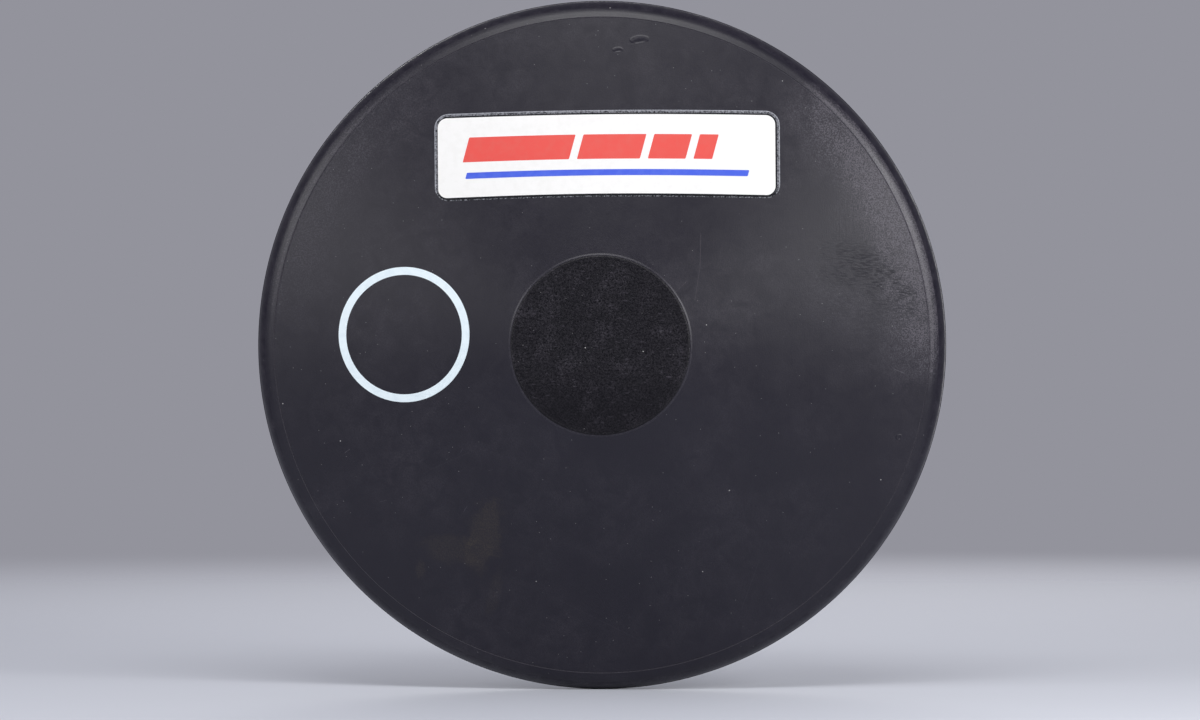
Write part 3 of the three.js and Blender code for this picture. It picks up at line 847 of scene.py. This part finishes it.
def rubber_half(name, half_turn):
    """Fine mesh of one rubber half. half_turn is pi for the half on the -Y side."""
    corners = rubber_section_corners()
    sizes = {
        "Rim Centre Radius": RIM_CENTRE_RADIUS, "Rim Edge Radius": RIM_EDGE_RADIUS,
        "Rim Start Angle": math.asin(FLASH_HALF_WIDTH / RIM_EDGE_RADIUS), "Rim End Angle": math.pi / 2 - RIM_BAND_TILT,
        "Rim Steps": RIM_STEPS, "Around Steps": AROUND_STEPS, "Row Spacing": ROW_SPACING, "Fillet Steps": FILLET_STEPS,
        "Key Circle Radius": KEY_CIRCLE_RADIUS, "Key Radius": KEY_RADIUS, "Key Length": CORE_HALF + KEY_ROOT,
        "Key Count": KEY_COUNT, "Key Sides": KEY_SIDES, "Half Turn": half_turn,
        "Centre Radius": LIP_GROOVE[0] - LIP_ROUNDING, "Buffed Radius": BUFFED_RADIUS,
        "Material": RUBBER, "Centre Material": ROUGH_RUBBER, "Rim Material": BUFFED_RUBBER,
    }
    return made_by(rubber_half_tree(corners, sizes), name, **corners, **sizes)


def smooth_step(share):
    """Smooth rise from 0 to 1 as share goes from 0 to 1."""
    share = min(max(share, 0.0), 1.0)
    return share * share * (3 - 2 * share)


def raise_blisters(piece):
    """Refines the rubber round the blisters, lifts each as a low flat swelling and sinks the fold along its foot."""
    form = bmesh.new()
    form.from_mesh(piece.data)
    middles = [on_face(pixel) for pixel, *_ in BLISTERS]
    near = [face for face in form.faces if face.normal.y < FACES_FRONT and any(
        (face.calc_center_median() - middle).xz.length < length / 2 + ROW_SPACING
        for middle, (_, length, *_) in zip(middles, BLISTERS))]
    edges = list({edge for face in near for edge in face.edges})
    bmesh.ops.subdivide_edges(form, edges=edges, cuts=BLISTER_CUTS, use_grid_fill=True)
    for middle, (_, length, width, tilt, height, fold) in zip(middles, BLISTERS):
        out = middle.normalized()
        normal = Vector((out.x * math.sin(SLOPE), -math.cos(SLOPE), out.z * math.sin(SLOPE)))
        lean = Matrix.Rotation(tilt, 3, "Y")
        for vertex in form.verts:
            if vertex.co.y > 0 or (vertex.co - middle).xz.length > length:
                continue
            along, _, beside = lean @ Vector((vertex.co.x - middle.x, 0, vertex.co.z - middle.z))
            along, beside = along / (length / 2), beside / (width / 2)
            rise = smooth_step((1 - math.hypot(along, beside)) / BLISTER_EDGE)
            above_fold = beside - FOLD_MIDDLE - FOLD_LEAN * along
            rise *= smooth_step(1 + above_fold / FOLD_BELOW)
            above_fold /= FOLD_ABOVE if above_fold > 0 else FOLD_BELOW
            sink = smooth_step(1 - math.hypot(along / FOLD_LENGTH, above_fold))
            vertex.co += normal * (height * rise - fold * sink)
    form.to_mesh(piece.data)
    form.free()


def weigh_normals(piece):
    """Shading normals that follow the wide faces, so that the narrow rounded corners don't shade the cone."""
    modifier = piece.modifiers.new("weighted_normals", "WEIGHTED_NORMAL")
    modifier.weight = NORMAL_WEIGHT
    bpy.context.view_layer.update()
    piece.data = bpy.data.meshes.new_from_object(piece.evaluated_get(bpy.context.evaluated_depsgraph_get()))
    piece.modifiers.clear()


def joined(name, pieces):
    """One mesh out of several sheets, each with its own material."""
    with bpy.context.temp_override(active_object=pieces[0], selected_editable_objects=pieces):
        bpy.ops.object.join()
    pieces[0].name = pieces[0].data.name = name
    return pieces[0]


def on_root(piece, node):
    """Puts the piece on the root body and hides the CAD node that it stands for."""
    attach(piece, "root")
    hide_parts(node)


RUBBER = moulded_rubber()
ROUGH_RUBBER = textured_rubber()
BUFFED_RUBBER = buffed_rubber()
front = rubber_half("front_rubber", math.pi)
raise_blisters(front)
weigh_normals(front)
back = rubber_half("back_rubber", 0.0)
weigh_normals(back)
on_root(front, "rubber_front_half")
on_root(back, "rubber_back_half")

LAY_ON_CONE = sheet_on_cone_group()
SHEET_TREE = sheet_tree()
label_place = {"Middle_Reach": (CREASE_RADIUS - LABEL_FROM_CREASE) / math.cos(SLOPE), "Clock": LABEL_CLOCK,
               "Tilt": LABEL_TILT}
field_lift = SHEET_GAP + FILM_THICKNESS + SHEET_GAP
print_lift = field_lift + INK_THICKNESS

film = made_by(SHEET_TREE, "label_film_clear", **label_place, Width=FILM_SIZE[0], Height=FILM_SIZE[1],
               Corner=FILM_CORNER, Columns=FILM_GRID[0], Rows=FILM_GRID[1], Lift=SHEET_GAP,
               Thickness=FILM_THICKNESS, Material=label_film())
on_root(film, "label_film")

white_ink = printed_ink("white_vinyl_ink_screen_printed", "#FAF9F5", "#F4F3EE", 0.30)
red_ink = printed_ink("red_vinyl_ink_screen_printed", "#EC564D", "#E85F55", 0.32)
blue_ink = printed_ink("blue_vinyl_ink_screen_printed", "#4562E0", "#5470E2", 0.32)
ring_ink = printed_ink("pale_blue_ink_pad_printed", "#EEFBFF", "#E0EFF5", 0.38)

field = made_by(SHEET_TREE, "label_field", **label_place, Width=FIELD_SIZE[0], Height=FIELD_SIZE[1],
                Corner=FIELD_CORNER, Across=FIELD_SHIFT, Outward=FIELD_SHIFT, Columns=FIELD_GRID[0], Rows=FIELD_GRID[1],
                Lift=field_lift, Thickness=INK_THICKNESS, Material=white_ink)
bars = [made_by(SHEET_TREE, "bar", **label_place, Width=length, Height=BAR_HEIGHT, Corner=PRINT_CORNER,
                Across=start + length / 2, Outward=BAR_RISE, Slant=BAR_SLANT, Columns=round(length / MM) + 1,
                Rows=BAR_ROWS, Lift=print_lift, Thickness=INK_THICKNESS / 2, Material=red_ink)
        for start, length in BAR_ROW]
rule = made_by(SHEET_TREE, "rule", **label_place, Width=RULE_SIZE[0], Height=RULE_SIZE[1], Corner=PRINT_CORNER,
               Outward=-RULE_DROP, Slant=BAR_SLANT, Columns=RULE_GRID[0], Rows=RULE_GRID[1], Lift=print_lift,
               Thickness=INK_THICKNESS / 2, Material=blue_ink)
label = joined("label_print", [field, *bars, rule])
on_root(label, "label_panel")

ring = made_by(ring_tree(), "ring_print", Outer_Radius=RING_OUTER_RADIUS, Stroke=RING_STROKE, Around=RING_GRID[0],
               Rows=RING_GRID[1], Lift=SHEET_GAP, Thickness=INK_THICKNESS,
               Middle_Reach=(CREASE_RADIUS - RING_FROM_CREASE) / math.cos(SLOPE),
               Clock=RING_CLOCK, Tilt=0.0, Material=ring_ink)
on_root(ring, "printed_ring")

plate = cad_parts["steel_core_plate"]
plate.data.materials.clear()
plate.data.materials.append(plate_steel())


# Studio: a pale floor that fades into a pale surround, and soft lamps

FLOOR_HEIGHT = -OUTER_RADIUS
FLOOR_RADIUS = 4.0
FLOOR_SIDES = 96
FADE_START, FADE_END = 0.25, 1.2
SURROUND = "#93939C"
FLOOR_PAINT = "#D2D5DD"
PAPER_ROUGHNESS = 0.9


def pale_floor():
    """Matt paper: plain, and thinned out towards its edge so that no horizon shows."""
    material, tree, shader = new_material("matt_paper_pale")
    place = add(tree, "ShaderNodeTexCoord", out="Object")
    shader.inputs["Base Color"].default_value = linear(FLOOR_PAINT)
    shader.inputs["Roughness"].default_value = PAPER_ROUGHNESS
    away = add(tree, VECTOR_MATH, [place], operation="LENGTH", out="Value")
    share = add(tree, MAP_RANGE,
                {"Value": away, "From Min": FADE_START, "From Max": FADE_END, "To Min": 1.0, "To Max": 0.0},
                interpolation_type="SMOOTHSTEP")
    tree.links.new(share, shader.inputs["Alpha"])
    form = bmesh.new()
    bmesh.ops.create_circle(form, cap_ends=True, segments=FLOOR_SIDES, radius=FLOOR_RADIUS,
                            matrix=Matrix.Translation((0, 0, FLOOR_HEIGHT)))
    mesh = bpy.data.meshes.new("floor")
    form.to_mesh(mesh)
    form.free()
    mesh.materials.append(material)
    floor = bpy.data.objects.new("floor", mesh)
    bpy.context.scene.collection.objects.link(floor)


def pale_surround():
    """Even light of the room, which is also the background that the camera sees."""
    world = bpy.data.worlds.new("room")
    world.use_nodes = True
    world.node_tree.nodes["Background"].inputs["Color"].default_value = linear(SURROUND)
    bpy.context.scene.world = world


# Degrees off the line to the camera, degrees round it from the right, distance, size, watts
LAMPS = {
    "key_right": (46, 24, 0.6, (0.17, 0.2), 1.15),
    "fill_left": (41, 158, 0.9, (0.22, 0.3), 0.8),
    "overhead": (47, 90, 0.9, (0.55, 0.2), 2.3),
    "side_right": (60, 18, 0.9, (0.2, 0.3), 0.36),
    "side_left": (60, 155, 0.9, (0.2, 0.3), 0.8),
    "side_top": (66, 102, 0.9, (0.6, 0.2), 0.45),
    "back_right": (164, 10, 1.2, (0.6, 0.5), 3.4),
    "back_top": (162, 110, 1.2, (0.6, 0.4), 2.8),
}


def soft_lamp(name, off_axis, clock, distance, size, power):
    """White soft box aimed at the discus."""
    tilt, turn = math.radians(off_axis), math.radians(clock)
    data = bpy.data.lights.new(name, "AREA")
    data.shape = "RECTANGLE"
    data.size, data.size_y = size
    data.energy = power
    lamp = bpy.data.objects.new(name, data)
    side = math.sin(tilt)
    lamp.location = distance * Vector((side * math.cos(turn), -math.cos(tilt), side * math.sin(turn)))
    lamp.rotation_euler = (-lamp.location).to_track_quat("-Z", "Y").to_euler()
    bpy.context.scene.collection.objects.link(lamp)


pale_floor()
pale_surround()
for lamp_name, setting in LAMPS.items():
    soft_lamp(lamp_name, *setting)

bpy.context.scene.view_settings.view_transform = "Standard"
